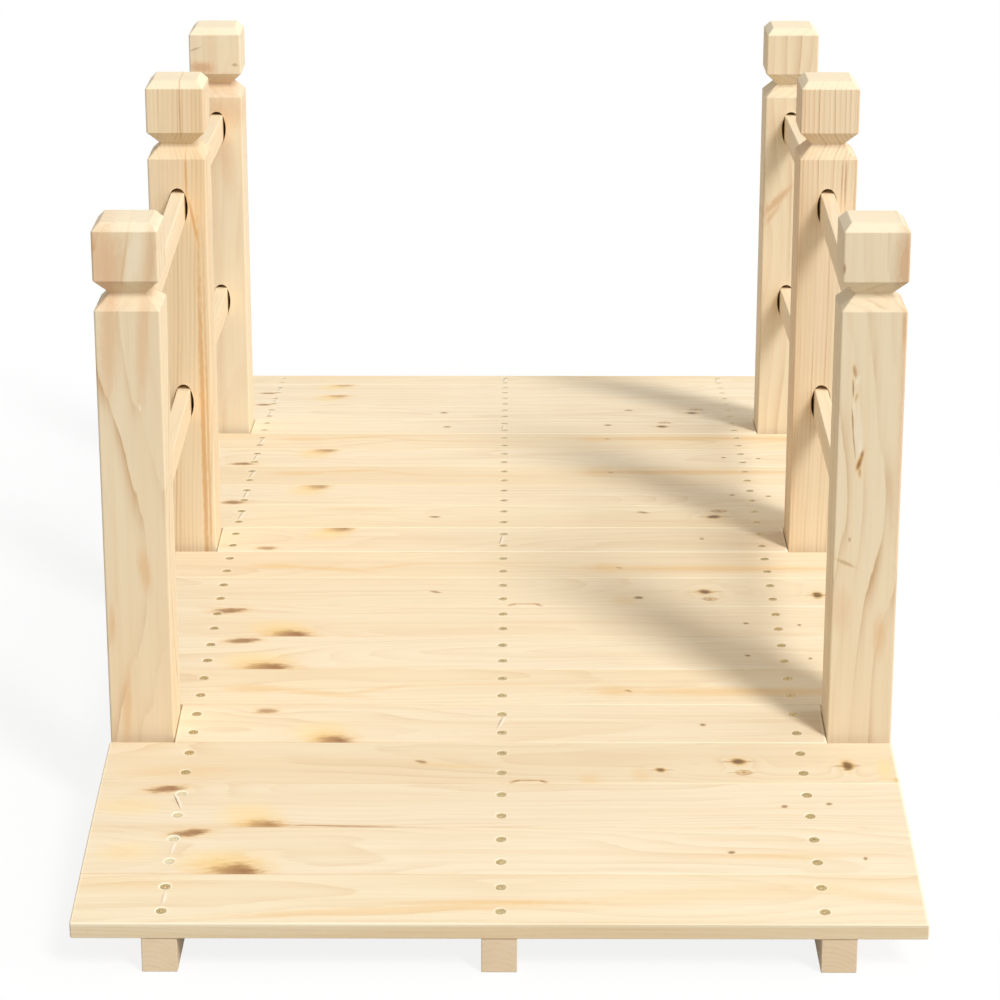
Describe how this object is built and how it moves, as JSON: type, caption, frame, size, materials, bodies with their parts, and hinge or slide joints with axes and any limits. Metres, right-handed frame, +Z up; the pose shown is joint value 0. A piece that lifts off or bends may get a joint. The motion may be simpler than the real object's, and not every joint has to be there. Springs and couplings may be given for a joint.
{
  "type": "garden bridge",
  "caption": "Arched softwood garden bridge with butted deck planks on arched stringers, square posts with V-grooved heads, and rails seated in mortises.",
  "frame": {"origin": "on the ground at the middle of the bridge", "axes": "+Z up, +Y along the walkway from the near end to the far end, +X to the right across it"},
  "size_m": [0.67, 1.499, 0.56],
  "materials": {
    "deck_wood": "planed bare softwood",
    "stringer_wood": "planed bare softwood",
    "post_wood": "planed bare softwood",
    "rail_wood": "planed bare softwood"
  },
  "bodies": {
    "root": {"deck_plank_01": "deck_wood", "deck_plank_02": "deck_wood", "deck_plank_03": "deck_wood", "deck_plank_04": "deck_wood", "deck_plank_05": "deck_wood", "deck_plank_06": "deck_wood", "deck_plank_07": "deck_wood", "deck_plank_08": "deck_wood", "deck_plank_09": "deck_wood", "deck_plank_10": "deck_wood", "deck_plank_11": "deck_wood", "deck_plank_12": "deck_wood", "deck_plank_13": "deck_wood", "deck_plank_14": "deck_wood", "deck_plank_15": "deck_wood", "deck_plank_16": "deck_wood", "deck_plank_17": "deck_wood", "deck_plank_18": "deck_wood", "deck_plank_19": "deck_wood", "deck_plank_20": "deck_wood", "deck_plank_21": "deck_wood", "left_stringer": "stringer_wood", "middle_stringer": "stringer_wood", "right_stringer": "stringer_wood", "near_left_post": "post_wood", "near_right_post": "post_wood", "middle_left_post": "post_wood", "middle_right_post": "post_wood", "far_left_post": "post_wood", "far_right_post": "post_wood", "near_left_lower_rail": "rail_wood", "near_left_upper_rail": "rail_wood", "near_right_lower_rail": "rail_wood", "near_right_upper_rail": "rail_wood", "far_left_lower_rail": "rail_wood", "far_left_upper_rail": "rail_wood", "far_right_lower_rail": "rail_wood", "far_right_upper_rail": "rail_wood"}
  },
  "joints": []
}
